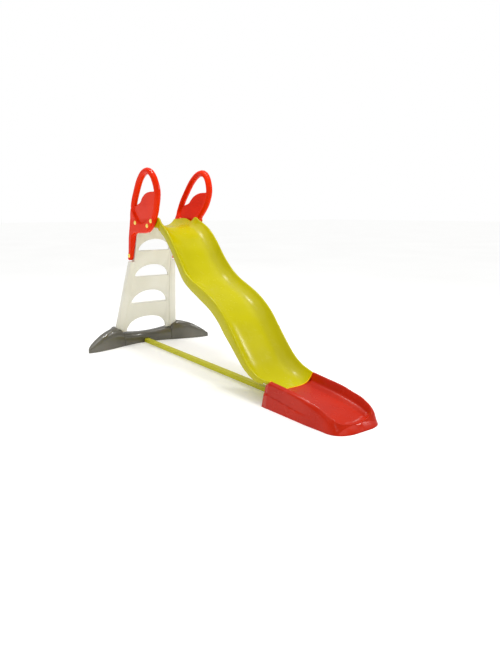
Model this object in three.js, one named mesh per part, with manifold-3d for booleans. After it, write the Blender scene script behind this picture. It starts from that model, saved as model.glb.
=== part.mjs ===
// Garden wave slide. A swept two-foot base and a crossbar carry a leaning one-piece ladder. A two-wave
// chute runs from the ladder's top into a low run-out tray, a side handle is bolted to each side of the top,
// and a long bar at ground level keeps the ladder and the tray apart.
// Millimetres. +Z is up, +X runs down the slide, Y is across it. The origin is on the ground, under the
// middle of the overall length.

import * as THREE from "three";
import { mergeVertices } from "three/addons/utils/BufferGeometryUtils.js";
import Module from "manifold-3d";

const wasm = await Module();
wasm.setup();

// ---- Driving dimensions. X is counted from an upright datum near the ladder's foot; the last step centres
// the slide. ----

const BASE_REAR = -195;
const NOSE = 2345;
const FOOT_TIP_Y = 541;

const GAP = 0.3; // between pieces that touch
const WALL = 5; // moulded wall of the hollow pieces

const LADDER_LEAN = 0.289; // forward lean of the ladder, per millimetre of height
const LADDER_FRONT = -127; // its front plane, carried down to the ground
const LADDER_DEPTH = 85;
const LADDER_TOP = 966;
const LADDER_HALF_AT_GROUND = 295;
const LADDER_TAPER = 0.138; // loss of half width, per millimetre of height
const WEB_THICKNESS = 22;
const TREAD_THICKNESS = 20;
const STEM_SEAT_Z = 697; // above this the rails are cut back to a flat seat for the handles
const SEAT_HALF = 163.3;

const TREADS = [
  { z: 346, half: 160, rise: 111 },
  { z: 570, half: 148, rise: 99 },
  { z: 780, half: 137, rise: 91 },
];
const BOTTOM_ARCH = { z: 112, half: 180, rise: 119 };

const CHUTE_WALL = 6;
const RIM_WIDTH = 14; // from the trough's edge to the outside of the rolled rim
const TROUGH_POWER = 4.6; // how square the trough's section is
const CHUTE_START = 150;
const CHUTE_END = 1797;

const TUBE_RADIUS = 24;
const HANDLE_INNER = SEAT_HALF + GAP + 0.1; // flat inner face of a handle's foot
const HANDLE_OUTER = 208;
const STEM_OUTER = 200; // outer face of the stem's lower end
const HANDLE_MIDDLE = 184;
const HANDLE_SPLAY = [[1030, 0], [1120, 17], [1380, 38]]; // outward shift of the rings, against height

const SEAM_Y = 213.5; // joint between the crossbar and each foot
const BAR_WIDTH = 41;
const BAR_HEIGHT = 30;

// ---- Colours ----

const RED = 0xd42a10;
const LIME = 0xcdc806;
const CREAM = 0xdedbc8;
const GREY = 0x6f6d62;
const BAR_LIME = 0xb4b41c;
const CAP_YELLOW = 0xffe678;
const STEEL = 0xb9bcc0;
const BLACK = 0x26272a;

const plastic = (color) => new THREE.MeshStandardMaterial({ color, roughness: 0.38, metalness: 0 });
const metal = (color) => new THREE.MeshStandardMaterial({ color, roughness: 0.35, metalness: 0.9 });

// ---- Solids ----

function manifoldOf(vertProperties, triVerts) {
  const made = new wasm.Manifold(new wasm.Mesh({ numProp: 3, vertProperties, triVerts }));
  if (made.volume() >= 0) return made;
  const turned = triVerts.slice();
  for (let i = 0; i < turned.length; i += 3) {
    [turned[i + 1], turned[i + 2]] = [turned[i + 2], turned[i + 1]];
  }
  return new wasm.Manifold(new wasm.Mesh({ numProp: 3, vertProperties, triVerts: turned }));
}

function solid(geometry) {
  const bare = geometry.clone();
  bare.deleteAttribute("normal");
  bare.deleteAttribute("uv");
  const merged = mergeVertices(bare, 1e-3);
  const { position } = merged.attributes;
  return manifoldOf(new Float32Array(position.array), new Uint32Array(merged.index.array));
}

function geometryOf(manifold) {
  const mesh = manifold.getMesh();
  const points = new Float32Array(mesh.numVert * 3);
  for (let i = 0; i < mesh.numVert; i++) {
    points.set(mesh.vertProperties.subarray(i * mesh.numProp, i * mesh.numProp + 3), i * 3);
  }
  const geometry = new THREE.BufferGeometry();
  geometry.setAttribute("position", new THREE.BufferAttribute(points, 3));
  geometry.setIndex(new THREE.BufferAttribute(new Uint32Array(mesh.triVerts), 1));
  geometry.computeVertexNormals();
  return geometry;
}

const point = (x, y, z) => new THREE.Vector3(x, y, z);

// A skin over a row of closed loops with equal counts, capped at both ends. `flat` lays a loop's point in
// 2-D.
function loft(loops, flat) {
  const size = loops[0].length;
  const positions = loops.flat().flatMap((p) => [p.x, p.y, p.z]);
  const faces = [];
  for (let row = 0; row < loops.length - 1; row++) {
    for (let k = 0; k < size; k++) {
      const a = row * size + k;
      const b = row * size + ((k + 1) % size);
      faces.push(a, b, b + size, a, b + size, a + size);
    }
  }
  const addCap = (loop, offset, atEnd) => {
    const outline = loop.map(flat);
    const turn = THREE.ShapeUtils.isClockWise(outline) === atEnd;
    for (const [a, b, c] of THREE.ShapeUtils.triangulateShape(outline, [])) {
      if (turn) faces.push(offset + a, offset + c, offset + b);
      else faces.push(offset + a, offset + b, offset + c);
    }
  };
  addCap(loops[0], 0, false);
  addCap(loops.at(-1), (loops.length - 1) * size, true);
  return manifoldOf(new Float32Array(positions), new Uint32Array(faces));
}

const acrossAndUp = (p) => new THREE.Vector2(p.y, p.z);
const alongAndUp = (p) => new THREE.Vector2(p.x, p.z);
const alongAndAcross = (p) => new THREE.Vector2(p.x, p.y);

// A flat shape drawn in (y, z), given a thickness from x = back to x = front.
function slabAcross(shape, back, front, curveSegments = 8) {
  const depth = front - back;
  const geometry = new THREE.ExtrudeGeometry(shape, { depth, bevelEnabled: false, curveSegments });
  const turn = new THREE.Matrix4().makeBasis(point(0, 1, 0), point(0, 0, 1), point(1, 0, 0));
  geometry.applyMatrix4(turn);
  geometry.translate(back, 0, 0);
  return solid(geometry);
}

// A flat shape drawn in (x, z), with rounded edges, from y = inner to y = outer.
function slabAlong(shape, inner, outer, bevel = 0, curveSegments = 8) {
  const geometry = new THREE.ExtrudeGeometry(shape, {
    depth: outer - inner - 2 * bevel,
    bevelEnabled: bevel > 0,
    bevelThickness: bevel,
    bevelSize: bevel,
    bevelOffset: -bevel,
    bevelSegments: 1,
    curveSegments,
  });
  const turn = new THREE.Matrix4().makeBasis(point(1, 0, 0), point(0, 0, 1), point(0, -1, 0));
  geometry.applyMatrix4(turn);
  geometry.translate(0, outer - bevel, 0);
  return solid(geometry);
}

function box(x0, x1, y0, y1, z0, z1) {
  const geometry = new THREE.BoxGeometry(x1 - x0, y1 - y0, z1 - z0);
  geometry.translate((x0 + x1) / 2, (y0 + y1) / 2, (z0 + z1) / 2);
  return solid(geometry);
}

const union = (parts) => parts.reduce((whole, part) => whole.add(part));
const cut = (whole, tools) => tools.reduce((left, tool) => left.subtract(tool), whole);

// Moves every vertex of a solid.
function bend(manifold, move) {
  const geometry = geometryOf(manifold);
  const array = geometry.attributes.position.array;
  for (let i = 0; i < array.length; i += 3) {
    const p = move(array[i], array[i + 1], array[i + 2]);
    array[i] = p[0];
    array[i + 1] = p[1];
    array[i + 2] = p[2];
  }
  return manifoldOf(new Float32Array(array), new Uint32Array(geometry.index.array));
}

// Moves a solid in layers that meet at the given heights, so a kink in the move stays at its own height.
function bendInLayers(manifold, heights, move) {
  const far = 5000;
  const levels = [-far, ...heights, far];
  const layers = heights.concat(far).map((top, i) => {
    return bend(manifold.intersect(box(-far, far, -far, far, levels[i], top)), move);
  });
  return union(layers);
}

const mirrorAcross = (manifold) => bend(manifold, (x, y, z) => [x, -y, z]);

// Straight lines between [position, value] pairs.
function along(pairs) {
  return (x) => {
    if (x <= pairs[0][0]) return pairs[0][1];
    for (let i = 1; i < pairs.length; i++) {
      const [x0, v0] = pairs[i - 1];
      const [x1, v1] = pairs[i];
      if (x <= x1) return v0 + ((v1 - v0) * (x - x0)) / (x1 - x0);
    }
    return pairs.at(-1)[1];
  };
}

// ---- Ladder ----

// The ladder is drawn standing upright with its front at x = 0, then leaned.
const lean = (manifold) => bend(manifold, (x, y, z) => [x + LADDER_FRONT + LADDER_LEAN * z, y, z]);

const ladderHalf = (z) => LADDER_HALF_AT_GROUND - LADDER_TAPER * z;

function archHole({ z, half, rise }) {
  const corner = 12;
  const hole = new THREE.Path();
  hole.moveTo(-half + corner, z);
  hole.lineTo(half - corner, z);
  hole.quadraticCurveTo(half, z, half - 1, z + corner);
  hole.bezierCurveTo(half - 8, z + rise * 0.5, half * 0.62, z + rise, 0, z + rise);
  hole.bezierCurveTo(-half * 0.62, z + rise, -half + 8, z + rise * 0.5, -half + 1, z + corner);
  hole.quadraticCurveTo(-half, z, -half + corner, z);
  return hole;
}

const LEG_FOOT_Z = 40; // the legs stand this high inside the feet
const LEG_INNER = SEAM_Y + 4;

function ladderWeb() {
  const { z, half, rise } = BOTTOM_ARCH;
  const inset = 14;
  const low = ladderHalf(z) - inset;
  const web = new THREE.Shape();
  web.moveTo(half, z);
  web.lineTo(low, z);
  web.lineTo(ladderHalf(STEM_SEAT_Z) - inset, STEM_SEAT_Z - 4);
  web.lineTo(SEAT_HALF - 6, STEM_SEAT_Z + 4);
  web.lineTo(SEAT_HALF - 6, LADDER_TOP - 1);
  web.lineTo(-SEAT_HALF + 6, LADDER_TOP - 1);
  web.lineTo(-SEAT_HALF + 6, STEM_SEAT_Z + 4);
  web.lineTo(-ladderHalf(STEM_SEAT_Z) + inset, STEM_SEAT_Z - 4);
  web.lineTo(-low, z);
  web.lineTo(-half, z);
  web.bezierCurveTo(-half + 4, z + rise * 0.62, -half * 0.62, z + rise, 0, z + rise);
  web.bezierCurveTo(half * 0.62, z + rise, half - 4, z + rise * 0.62, half, z);
  web.holes.push(...TREADS.map(archHole));
  return slabAcross(web, -WEB_THICKNESS - 6, -6, 7);
}

// Inner face of a rail, at its front and at its rear: the rails narrow backwards, clear of the arched
// openings.
const railInner = along([[LEG_FOOT_Z, 222], [112, 212], [346, 180], [570, 158], [LADDER_TOP, 140]]);
const railInnerRear = along([
  [LEG_FOOT_Z, 240],
  [112, 237],
  [346, 208],
  [570, 178],
  [STEM_SEAT_Z, 151.5],
  [LADDER_TOP, 140],
]);
const railDepth = along([[570, 66], [800, 54]]);

// A rail's section, from its inner front corner round the outside to its inner rear corner.
function railLoop(z, side, inset = 0) {
  const w = ladderHalf(z) - inset;
  const rounding = 12;
  const squareness = THREE.MathUtils.clamp((z - 100) / 600, 0, 1);
  const flankEnd = rounding + THREE.MathUtils.lerp(8, 30, squareness);
  const depth = railDepth(z) - inset;
  return [
    [-inset, railInner(z) + inset + 6],
    [-inset, w - rounding],
    [-rounding * 0.35 - inset, w - rounding * 0.35],
    [-rounding - inset, w],
    [-flankEnd, w],
    [-(flankEnd + depth) / 2, w - (depth - flankEnd) * 0.2],
    [-depth, w - (depth - flankEnd) * 0.55],
    [-depth, railInnerRear(z) + inset],
    [-28 - inset, railInner(z) + inset],
    [-6 - inset, railInner(z) + inset],
  ].map(([x, y]) => point(x, side * y, z));
}

function rail(side) {
  const levels = [LEG_FOOT_Z, 112, 346, 570, STEM_SEAT_Z, LADDER_TOP];
  const outside = loft(levels.map((z) => railLoop(z, side)), alongAndAcross);
  const hollowLevels = [LEG_FOOT_Z - 1, 112, 346, 570, 640];
  const hollow = loft(hollowLevels.map((z) => railLoop(z, side, WALL)), alongAndAcross);
  return { outside, hollow };
}

function tread(z, half, lip) {
  const top = box(-LADDER_DEPTH, -10, -half, half, z - TREAD_THICKNESS, z);
  const rear = box(-LADDER_DEPTH, -LADDER_DEPTH + 12, -half, half, z - lip, z);
  return top.add(rear);
}

const sideBox = (side, x0, x1, y0, y1, z0, z1) => onSide(side, box(x0, x1, y0, y1, z0, z1));

function ladder() {
  const rails = [rail(1), rail(-1)];
  const treadAt = (z) => tread(z, railInner(z) + 6, 46);
  const whole = union([
    ladderWeb(),
    ...rails.map((r) => r.outside),
    ...TREADS.map(({ z }) => treadAt(z)),
    treadAt(LADDER_TOP),
  ]);
  const seats = [1, -1].map((s) => sideBox(s, -200, 100, SEAT_HALF, 400, STEM_SEAT_Z, LADDER_TOP + 1));
  const legSteps = [1, -1].map((s) => sideBox(s, -200, 100, 100, LEG_INNER, LEG_FOOT_Z - 2, BOTTOM_ARCH.z));
  const moulding = lean(cut(whole, [...rails.map((r) => r.hollow), ...seats, ...legSteps]));
  const { stem } = SIDE_BOLTS;
  const holes = [1, -1].flatMap((s) => [shaftHole(stem, s), nutPocket(stem, s), legScrewHole(s)]);
  return cut(moulding, holes);
}

// ---- Fasteners ----

const BOLT_RADIUS = 4;
const SCREW_RADIUS = 3;
const HEAD_RADIUS = 7;
const CAP_RADIUS = 16;
const NUT_RADIUS = 8;
const NUT_THICKNESS = 6.5;

// Bolts through each handle: three into the chute's side wall and one into the ladder's rail. `inner` is
// the inner face of the wall that the bolt clamps, and `outer` the handle's outer face there.
const SKIRT_INNER = SEAT_HALF - 0.1 - WALL;
const SIDE_BOLTS = {
  rear: { x: 211, z: 998, inner: SKIRT_INNER, outer: HANDLE_OUTER },
  middle: { x: 410, z: 979, inner: SKIRT_INNER, outer: HANDLE_OUTER },
  front: { x: 470, z: 1014, inner: SKIRT_INNER, outer: HANDLE_OUTER },
  stem: { x: 60, z: 744, inner: 147.9, outer: STEM_OUTER },
};

// A round pin with its axis along X, Y or Z, between two positions on that axis.
function pin(axis, a, b, radius, from, to, sides = 10) {
  const geometry = new THREE.CylinderGeometry(radius, radius, to - from, sides);
  const middle = (from + to) / 2;
  if (axis === "x") geometry.rotateZ(Math.PI / 2).translate(middle, a, b);
  if (axis === "y") geometry.translate(a, middle, b);
  if (axis === "z") geometry.rotateX(Math.PI / 2).translate(a, b, middle);
  return solid(geometry);
}

const onSide = (side, manifold) => (side > 0 ? manifold : mirrorAcross(manifold));

function shaftHole({ x, z, inner }, side) {
  return onSide(side, pin("y", x, z, BOLT_RADIUS + GAP, inner - 12, HANDLE_OUTER + 20));
}

// Room for a nut in a wall that curves in behind it.
function nutPocket({ x, z, inner }, side) {
  return onSide(side, pin("y", x, z, NUT_RADIUS + 1, inner - 11, inner));
}

function sideBolt({ x, z, inner, outer }, side) {
  const head = pin("y", x, z, HEAD_RADIUS, outer + GAP, outer + 4);
  const shank = pin("y", x, z, BOLT_RADIUS, inner - 10, outer + 1);
  return onSide(side, head.add(shank));
}

function sideCap({ x, z, outer }, side) {
  const profile = [
    [0, 5],
    [8.5, 5],
    [8.5, 0],
    [CAP_RADIUS, 0],
    [CAP_RADIUS - 1.5, 4],
    [CAP_RADIUS * 0.6, 7.6],
    [0, 9],
  ].map(([r, h]) => new THREE.Vector2(r, h));
  const geometry = new THREE.LatheGeometry(profile, 12);
  geometry.translate(x, outer + GAP, z);
  return onSide(side, solid(geometry));
}

function sideNut({ x, z, inner }, side) {
  const outside = inner - GAP;
  const body = pin("y", x, z, NUT_RADIUS, outside - NUT_THICKNESS, outside, 6);
  return onSide(side, body.subtract(pin("y", x, z, BOLT_RADIUS + GAP, outside - 10, outside + 2)));
}

// A pan-head screw along an axis: its head is at `head`, and its shank ends at `tip`.
function screw(axis, a, b, head, tip, radius = SCREW_RADIUS) {
  const sign = Math.sign(head - tip);
  const ends = (from, to) => [Math.min(from, to), Math.max(from, to)];
  const cap = pin(axis, a, b, HEAD_RADIUS, ...ends(head, head + 3.2 * sign));
  return cap.add(pin(axis, a, b, radius, ...ends(head + sign, tip), 10));
}

// ---- Base: a crossbar and two swept feet ----

// Front edge of the base on the ground: it sweeps forward from the middle to the feet.
function baseFront(y) {
  const tip = Math.max(0, Math.abs(y) - 380) / (FOOT_TIP_Y - 380);
  return -101.7 + 9.775e-4 * y * y - 2.3226e-9 * y ** 4 + 20 * tip ** 2;
}
const baseRear = along([
  [262, BASE_REAR],
  [284, -172],
  [305, -138],
  [330, -113],
  [377, -95],
  [420, -84],
  [470, -68],
  [505, -52],
  [530, -30],
  [FOOT_TIP_Y, -10],
]);

// Height of a foot: a rounded cup in front of the ladder's leg, then a wing that falls to the tip.
const CUP_TOP = 158;
const CUP_CENTRE = 282;
const wingHeight = along([
  [CUP_CENTRE, CUP_TOP],
  [330, 150],
  [377, 136],
  [420, 116],
  [470, 85],
  [500, 64],
  [526, 43],
  [FOOT_TIP_Y, 30],
]);
const cupHeight = (y) => 108 + (CUP_TOP - 108) * Math.sqrt(1 - ((CUP_CENTRE - y) / 70) ** 2);
const footHeight = (y) => (y < CUP_CENTRE ? cupHeight(y) : wingHeight(y));

function baseLoop(y, height, inset = 0, bottom = 0) {
  const front = baseFront(y) - inset;
  const depth = front - baseRear(Math.abs(y)) - inset;
  const top = height - inset;
  return [
    [0, bottom],
    [0, top * 0.62],
    [0.04, top * 0.78],
    [0.14, top * 0.91],
    [0.3, top * 0.98],
    [0.46, top],
    [0.8, top],
    [0.94, top * 0.95],
    [1, top * 0.8],
    [1, bottom],
  ].map(([back, up]) => point(front - back * depth, y, up));
}

const TONGUE = { rear: -165, front: -95, reach: 30, low: 8, high: 33 };
const LEG_SCREW = { y: 246, z: 84 };
const TONGUE_SCREW = { y: 228, z: 20 };
const SCREW_RECESS = 4.5; // screw heads sit below the base's rear face

function legScrewHole(side) {
  return onSide(side, pin("x", LEG_SCREW.y, LEG_SCREW.z, SCREW_RADIUS + GAP, -250, -150));
}

function rearScrewRecess({ y, z }) {
  return pin("x", y, z, HEAD_RADIUS + 1, BASE_REAR - 1, BASE_REAR + SCREW_RECESS);
}

function tongue(side, slack) {
  const { rear, front, reach, low, high } = TONGUE;
  const end = SEAM_Y + reach + slack;
  return sideBox(side, rear - slack, front + slack, SEAM_Y - 20, end, low - slack, high + slack);
}

function foot(side) {
  const cup = [SEAM_Y + GAP, 217, 222, 230, 242, 262, CUP_CENTRE];
  const levels = [...cup, 305, 330, 377, 420, 470, 505, 530, FOOT_TIP_Y];
  const outside = loft(levels.map((y) => baseLoop(y, footHeight(y))), alongAndUp);
  const hollowLevels = levels.filter((y) => y > 300 && y < 520);
  const hollow = loft(hollowLevels.map((y) => baseLoop(y, footHeight(y), WALL, -1)), alongAndUp);
  const socketLevels = [LEG_FOOT_Z - GAP, BOTTOM_ARCH.z, 220];
  const leg = lean(loft(socketLevels.map((z) => railLoop(z, 1, -0.5)), alongAndAcross));
  const tools = [
    hollow,
    leg,
    lean(box(-WEB_THICKNESS - 6 - GAP, -6 + GAP, 150, 262, BOTTOM_ARCH.z - GAP, 220)),
    tongue(1, 0.4),
    legScrewHole(1),
    rearScrewRecess(LEG_SCREW),
    pin("x", TONGUE_SCREW.y, TONGUE_SCREW.z, SCREW_RADIUS + GAP, -250, -160),
    rearScrewRecess(TONGUE_SCREW),
  ];
  return onSide(side, cut(outside, tools));
}

function crossbarHeight(y) {
  const reach = Math.abs(y) / 187;
  return 88 + 17 * Math.min(1, reach) ** 2 + Math.max(0, reach - 1) * 41.5;
}

function crossbar() {
  const spread = [0, 45, 90, 135, 187, SEAM_Y];
  const levels = [...spread.slice(1).reverse().map((y) => -y), ...spread];
  const outside = loft(levels.map((y) => baseLoop(y, crossbarHeight(y))), alongAndUp);
  const hollow = (side) => {
    const stations = [42, 90, 135, 187, SEAM_Y - 8];
    const loops = stations.map((y) => baseLoop(y, crossbarHeight(y), WALL, WALL));
    return onSide(side, loft(loops, alongAndUp));
  };
  // Each hollow opens to the outside through a drain in the rear wall.
  const drain = (side) => onSide(side, pin("x", 120, 30, 6, BASE_REAR - 1, BASE_REAR + 20));
  const tongueHole = (side) => {
    return onSide(side, pin("x", TONGUE_SCREW.y, TONGUE_SCREW.z, SCREW_RADIUS + GAP, -170, -125));
  };
  const slotHalf = BAR_WIDTH / 2 + GAP;
  const barSlot = box(BAR_START - PLUG_FLANGE - 2 * GAP, 0, -slotHalf, slotHalf, -1, BAR_TOP + GAP);
  const barBoltHole = pin("x", 0, BAR_MIDDLE, BOLT_RADIUS + GAP, BASE_REAR - 1, BAR_START + 1);
  const body = union([outside, tongue(1, 0), tongue(-1, 0)]);
  return cut(body, [
    ...[1, -1].flatMap((s) => [hollow(s), drain(s), tongueHole(s)]),
    barSlot,
    barBoltHole,
    pin("x", 0, BAR_MIDDLE, HEAD_RADIUS + 1, BASE_REAR - 1, BASE_REAR + SCREW_RECESS),
  ]);
}

// ---- Stabiliser bar ----

const BAR_BOTTOM = 1.5;
const BAR_TOP = BAR_BOTTOM + BAR_HEIGHT;
const BAR_MIDDLE = BAR_BOTTOM + BAR_HEIGHT / 2;
const BAR_START = -160;
const BAR_END = 1840;
const BAR_WALL = 2.5;
const PLUG_FLANGE = 3;
const PLUG_REACH = 22;

function barOutline(inset) {
  const half = BAR_WIDTH / 2 - inset;
  const low = BAR_BOTTOM + inset;
  const high = BAR_TOP - inset;
  const corner = 4;
  const groove = 2;
  const right = [
    [half - corner, low],
    [half - 1, low + 1],
    [half, low + corner],
    [half, BAR_MIDDLE - 4],
    [half - groove, BAR_MIDDLE - 1.5],
    [half - groove, BAR_MIDDLE + 1.5],
    [half, BAR_MIDDLE + 4],
    [half, high - corner],
    [half - 1, high - 1],
    [half - corner, high],
  ];
  const left = right.map(([y, z]) => [-y, z]).reverse();
  return [...right, ...left].map(([y, z]) => new THREE.Vector2(y, z));
}

function stabiliserBar() {
  const section = new THREE.Shape(barOutline(0));
  section.holes.push(new THREE.Path(barOutline(BAR_WALL)));
  return cut(slabAcross(section, BAR_START, BAR_END), [trayBoltHole()]);
}

function barPlug(end) {
  const sign = end === BAR_END ? 1 : -1;
  const flange = [end + GAP * sign, end + (GAP + PLUG_FLANGE) * sign];
  const stub = [end - PLUG_REACH * sign, end + (GAP + 1) * sign];
  const sorted = (pair) => [Math.min(...pair), Math.max(...pair)];
  const plug = slabAcross(new THREE.Shape(barOutline(0)), ...sorted(flange)).add(
    slabAcross(new THREE.Shape(barOutline(BAR_WALL + GAP)), ...sorted(stub)),
  );
  if (sign > 0) return plug;
  const boltEnd = BAR_START + PLUG_REACH - 4;
  return plug.subtract(pin("x", 0, BAR_MIDDLE, BOLT_RADIUS + GAP, BAR_START - 10, boltEnd));
}

// ---- Chute ----

// The top of the chute's rim, seen from the side, from the deck down to the tray.
const RIM_LINE = new THREE.SplineCurve(
  [
    [CHUTE_START, 1020],
    [300, 1022],
    [430, 1021],
    [515, 1011],
    [631, 956],
    [726, 875],
    [816, 775],
    [908, 688],
    [990, 641],
    [1085, 605],
    [1180, 568],
    [1267, 524],
    [1357, 459],
    [1432, 381],
    [1495, 312],
    [1560, 246],
    [1611, 203],
    [1676, 168],
    [1747, 152],
    [CHUTE_END, 150],
  ].map(([x, z]) => new THREE.Vector2(x, z)),
);
const chuteHalf = along([
  [506, SEAT_HALF - 0.1],
  [545, 176],
  [640, 182],
  [820, 185],
  [930, 192],
  [1060, 187],
  [1690, 184],
  [1750, 177],
  [CHUTE_END, 163],
]);
const chuteDepth = along([[CHUTE_START, 48], [500, 50], [700, 58], [CHUTE_END, 60]]);
const skirtDepth = along([
  [500, 54],
  [750, 52],
  [950, 62],
  [1150, 74],
  [1390, 74],
  [1500, 56],
  [1600, 46],
  [1690, 34],
  [1748, 22],
  [1754, 11],
  [CHUTE_END, 11],
]);

const hump = (x, middle, width) => Math.exp(-(((x - middle) / width) ** 2));
// The rim dips between two of the handle's bolts and rises at the last one.
const rimWave = (x) => 6 * hump(x, 290, 60) - 15 * hump(x, 402, 36) + 18 * hump(x, 478, 34);

// Half of the section, as [y, height over the rim] from the middle of the trough to the foot of the skirt,
// and back along the underside.
function chuteSection(x) {
  const outer = chuteHalf(x);
  const trough = outer - RIM_WIDTH;
  const depth = chuteDepth(x);
  const skirt = skirtDepth(x);
  const lift = rimWave(x);
  const shares = [0.34, 0.55, 0.7, 0.81, 0.89, 0.95, 1];
  const top = [[0, -depth]];
  const under = [[0, -depth - CHUTE_WALL]];
  for (const share of shares) {
    const fall = -depth * (1 - share ** TROUGH_POWER);
    const slope = (depth * TROUGH_POWER * share ** (TROUGH_POWER - 1)) / trough;
    const size = Math.hypot(slope, 1);
    const raised = lift * share ** 8;
    top.push([share * trough, fall + raised]);
    if (share < 1) {
      under.push([share * trough + (CHUTE_WALL * slope) / size, fall + raised - CHUTE_WALL / size]);
    }
  }
  top.push([trough + 4, lift + 1.6], [outer - 4, lift + 1.6], [outer, lift - 3], [outer, -skirt]);
  under.push([outer - WALL, Math.max(-9 + lift, -skirt + 1)], [outer - WALL, -skirt]);
  return [top, under];
}

function chute() {
  const steps = 30;
  const loops = [];
  for (let i = 0; i <= steps; i++) {
    // The stations are closer together on the deck.
    const u = i < 12 ? i / 55 : 12 / 55 + ((i - 12) / (steps - 12)) * (43 / 55);
    const rim = RIM_LINE.getPointAt(u);
    const run = RIM_LINE.getTangentAt(u);
    // Both ends are cut square to the ground.
    const level = i === 0 || i === steps;
    const up = level ? new THREE.Vector2(0, 1) : new THREE.Vector2(-run.y, run.x);
    const [top, under] = chuteSection(rim.x);
    const section = [
      ...top.slice(1).reverse().map(([y, h]) => [-y, h]),
      ...top,
      ...under.slice(1).reverse(),
      [0, under[0][1]],
      ...under.slice(1).map(([y, h]) => [-y, h]),
    ];
    loops.push(section.map(([y, h]) => point(rim.x + up.x * h, y, rim.y + up.y * h)));
  }
  const body = loft(loops, acrossAndUp);
  const deckTop = 1020 - chuteDepth(CHUTE_START);
  const deckBack = -LADDER_DEPTH - 7;
  const deck = lean(union([
    box(deckBack, 12, -112, 112, deckTop - CHUTE_WALL + 0.6, deckTop - 0.4),
    box(deckBack, deckBack + CHUTE_WALL, -112, 112, deckTop - 34, deckTop - 0.4),
  ]));
  const holes = [1, -1].flatMap((s) => [
    shaftHole(SIDE_BOLTS.rear, s),
    shaftHole(SIDE_BOLTS.middle, s),
    shaftHole(SIDE_BOLTS.front, s),
    nutPocket(SIDE_BOLTS.front, s),
    onSide(s, pin("z", CHUTE_SCREW.x, CHUTE_SCREW.y, SCREW_RADIUS + GAP, 70, CHUTE_SCREW.tip + GAP)),
  ]);
  return cut(body.add(deck), holes);
}

// ---- Run-out tray ----

const TRAY_REAR = 1751; // at the ground; the rear edge leans to 1776 at the top of the skirt
const trayRim = along([
  [CHUTE_END, 151],
  [1932, 142],
  [2046, 133],
  [2113, 121],
  [2182, 108],
  [2223, 92],
  [2265, 73],
  [2280, 62],
  [2292, 48],
  [2298, 41],
  [2309, 34],
  [2328, 20],
  [NOSE, 6],
]);
const trayFloor = along([
  [CHUTE_END, 88],
  [1900, 84],
  [2000, 77],
  [2100, 66],
  [2200, 50],
  [2240, 40],
  [2265, 33],
  [2285, 27],
  [2298, 25],
  [2305, 28],
  [2309, 33],
  [2328, 19],
  [NOSE, 5.5],
]);
const trayRimHalf = along([
  [CHUTE_END, 163],
  [1932, 158],
  [2182, 156],
  [2240, 153],
  [2265, 147],
  [2280, 138],
  [2292, 117],
  [2298, 94],
  [2304, 64],
  [2309, 26],
  [NOSE, 20],
]);
const NOSE_START = 2214;
const NOSE_POWER = 2.9; // how square the nose is, seen from above
const traySkirtHalf = along([[TRAY_REAR, 191], [2003, 184], [2109, 181], [NOSE_START, 172]]);

function trayBaseHalf(x) {
  const reach = Math.max(0, x - NOSE_START) / (NOSE + 3 - NOSE_START);
  return traySkirtHalf(x) * (1 - reach ** NOSE_POWER) ** (1 / NOSE_POWER);
}

// The trough's section as [share of the half width, share of the height]: a dished floor, a crease and a
// steep side.
const TRAY_PROFILE = [[0, 0], [0.35, 0.03], [0.6, 0.1], [0.77, 0.2], [0.88, 0.33], [0.94, 0.68], [1, 1]];

// The tray's section at x, right half: a trough, a rolled rim, an upper wall, a ledge and a skirt down to the
// ground. The ledge fades into a rounded shoulder towards the nose. Behind the chute's end the section drops
// to a saddle that the chute lies on. With a wall it is the hollow under them.
function traySection(x, wall, bottom) {
  const saddle = x < CHUTE_END;
  const floor = saddle ? 90 - CHUTE_WALL - 2.4 : trayFloor(x);
  const rim = saddle ? 136 : trayRim(x);
  const half = saddle ? 163 : trayRimHalf(x);
  const trough = half - (saddle ? 4 : RIM_WIDTH - 4);
  const base = trayBaseHalf(x);
  const section = [];
  TRAY_PROFILE.slice(0, wall > 0 ? -1 : undefined).forEach(([share, rise], i) => {
    const next = TRAY_PROFILE[i + 1] ?? [1.1, 1.6];
    const slope = ((rim - floor) * (next[1] - rise)) / (trough * (next[0] - share));
    const size = Math.hypot(slope, 1);
    const lean = i > 0 ? (wall * slope) / size : 0;
    section.push([share * trough + lean, floor + (rim - floor) * rise - wall / size]);
  });
  const roll = Math.min(1.6, rim * 0.05);
  section.push(wall > 0 ? [half - wall - 2, section.at(-1)[1]] : [half - 4, rim + roll]);
  const round = THREE.MathUtils.smoothstep(x, 1980, 2230);
  const ledge = 79 - (x - TRAY_REAR) * 0.1;
  const shoulder = [
    [0.14, rim - 0.5, 0, rim * 0.97],
    [0.43, rim - 5, 0.25, rim * 0.9],
    [0.57, rim - 13, 0.48, rim * 0.79],
    [0.7, ledge + 3, 0.7, rim * 0.58],
    [0.82, ledge, 0.89, rim * 0.3],
  ];
  for (const [rearShare, rearHeight, frontShare, frontHeight] of shoulder) {
    const share = THREE.MathUtils.lerp(rearShare, frontShare, round);
    const height = THREE.MathUtils.lerp(rearHeight, frontHeight, round);
    section.push([THREE.MathUtils.lerp(half, base, share) - wall, height - (wall > 0 ? 7 : 0)]);
  }
  section.push([base - wall, bottom]);
  return section;
}

function trayLoop(place, x = place, wall = 0, bottom = 0) {
  const section = traySection(x, wall, bottom);
  const mirrored = section.slice(1).reverse().map(([y, z]) => [-y, z]);
  return [...mirrored, ...section].map(([y, z]) => point(place, y, z));
}

const TRAY_BOLT = { x: 1800, half: 42 };
const CHUTE_SCREW = { x: 1785, y: 60, head: 76, tip: 88 };
const trayBoltHole = () => pin("y", TRAY_BOLT.x, BAR_MIDDLE, BOLT_RADIUS + GAP, -60, 60);

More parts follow.
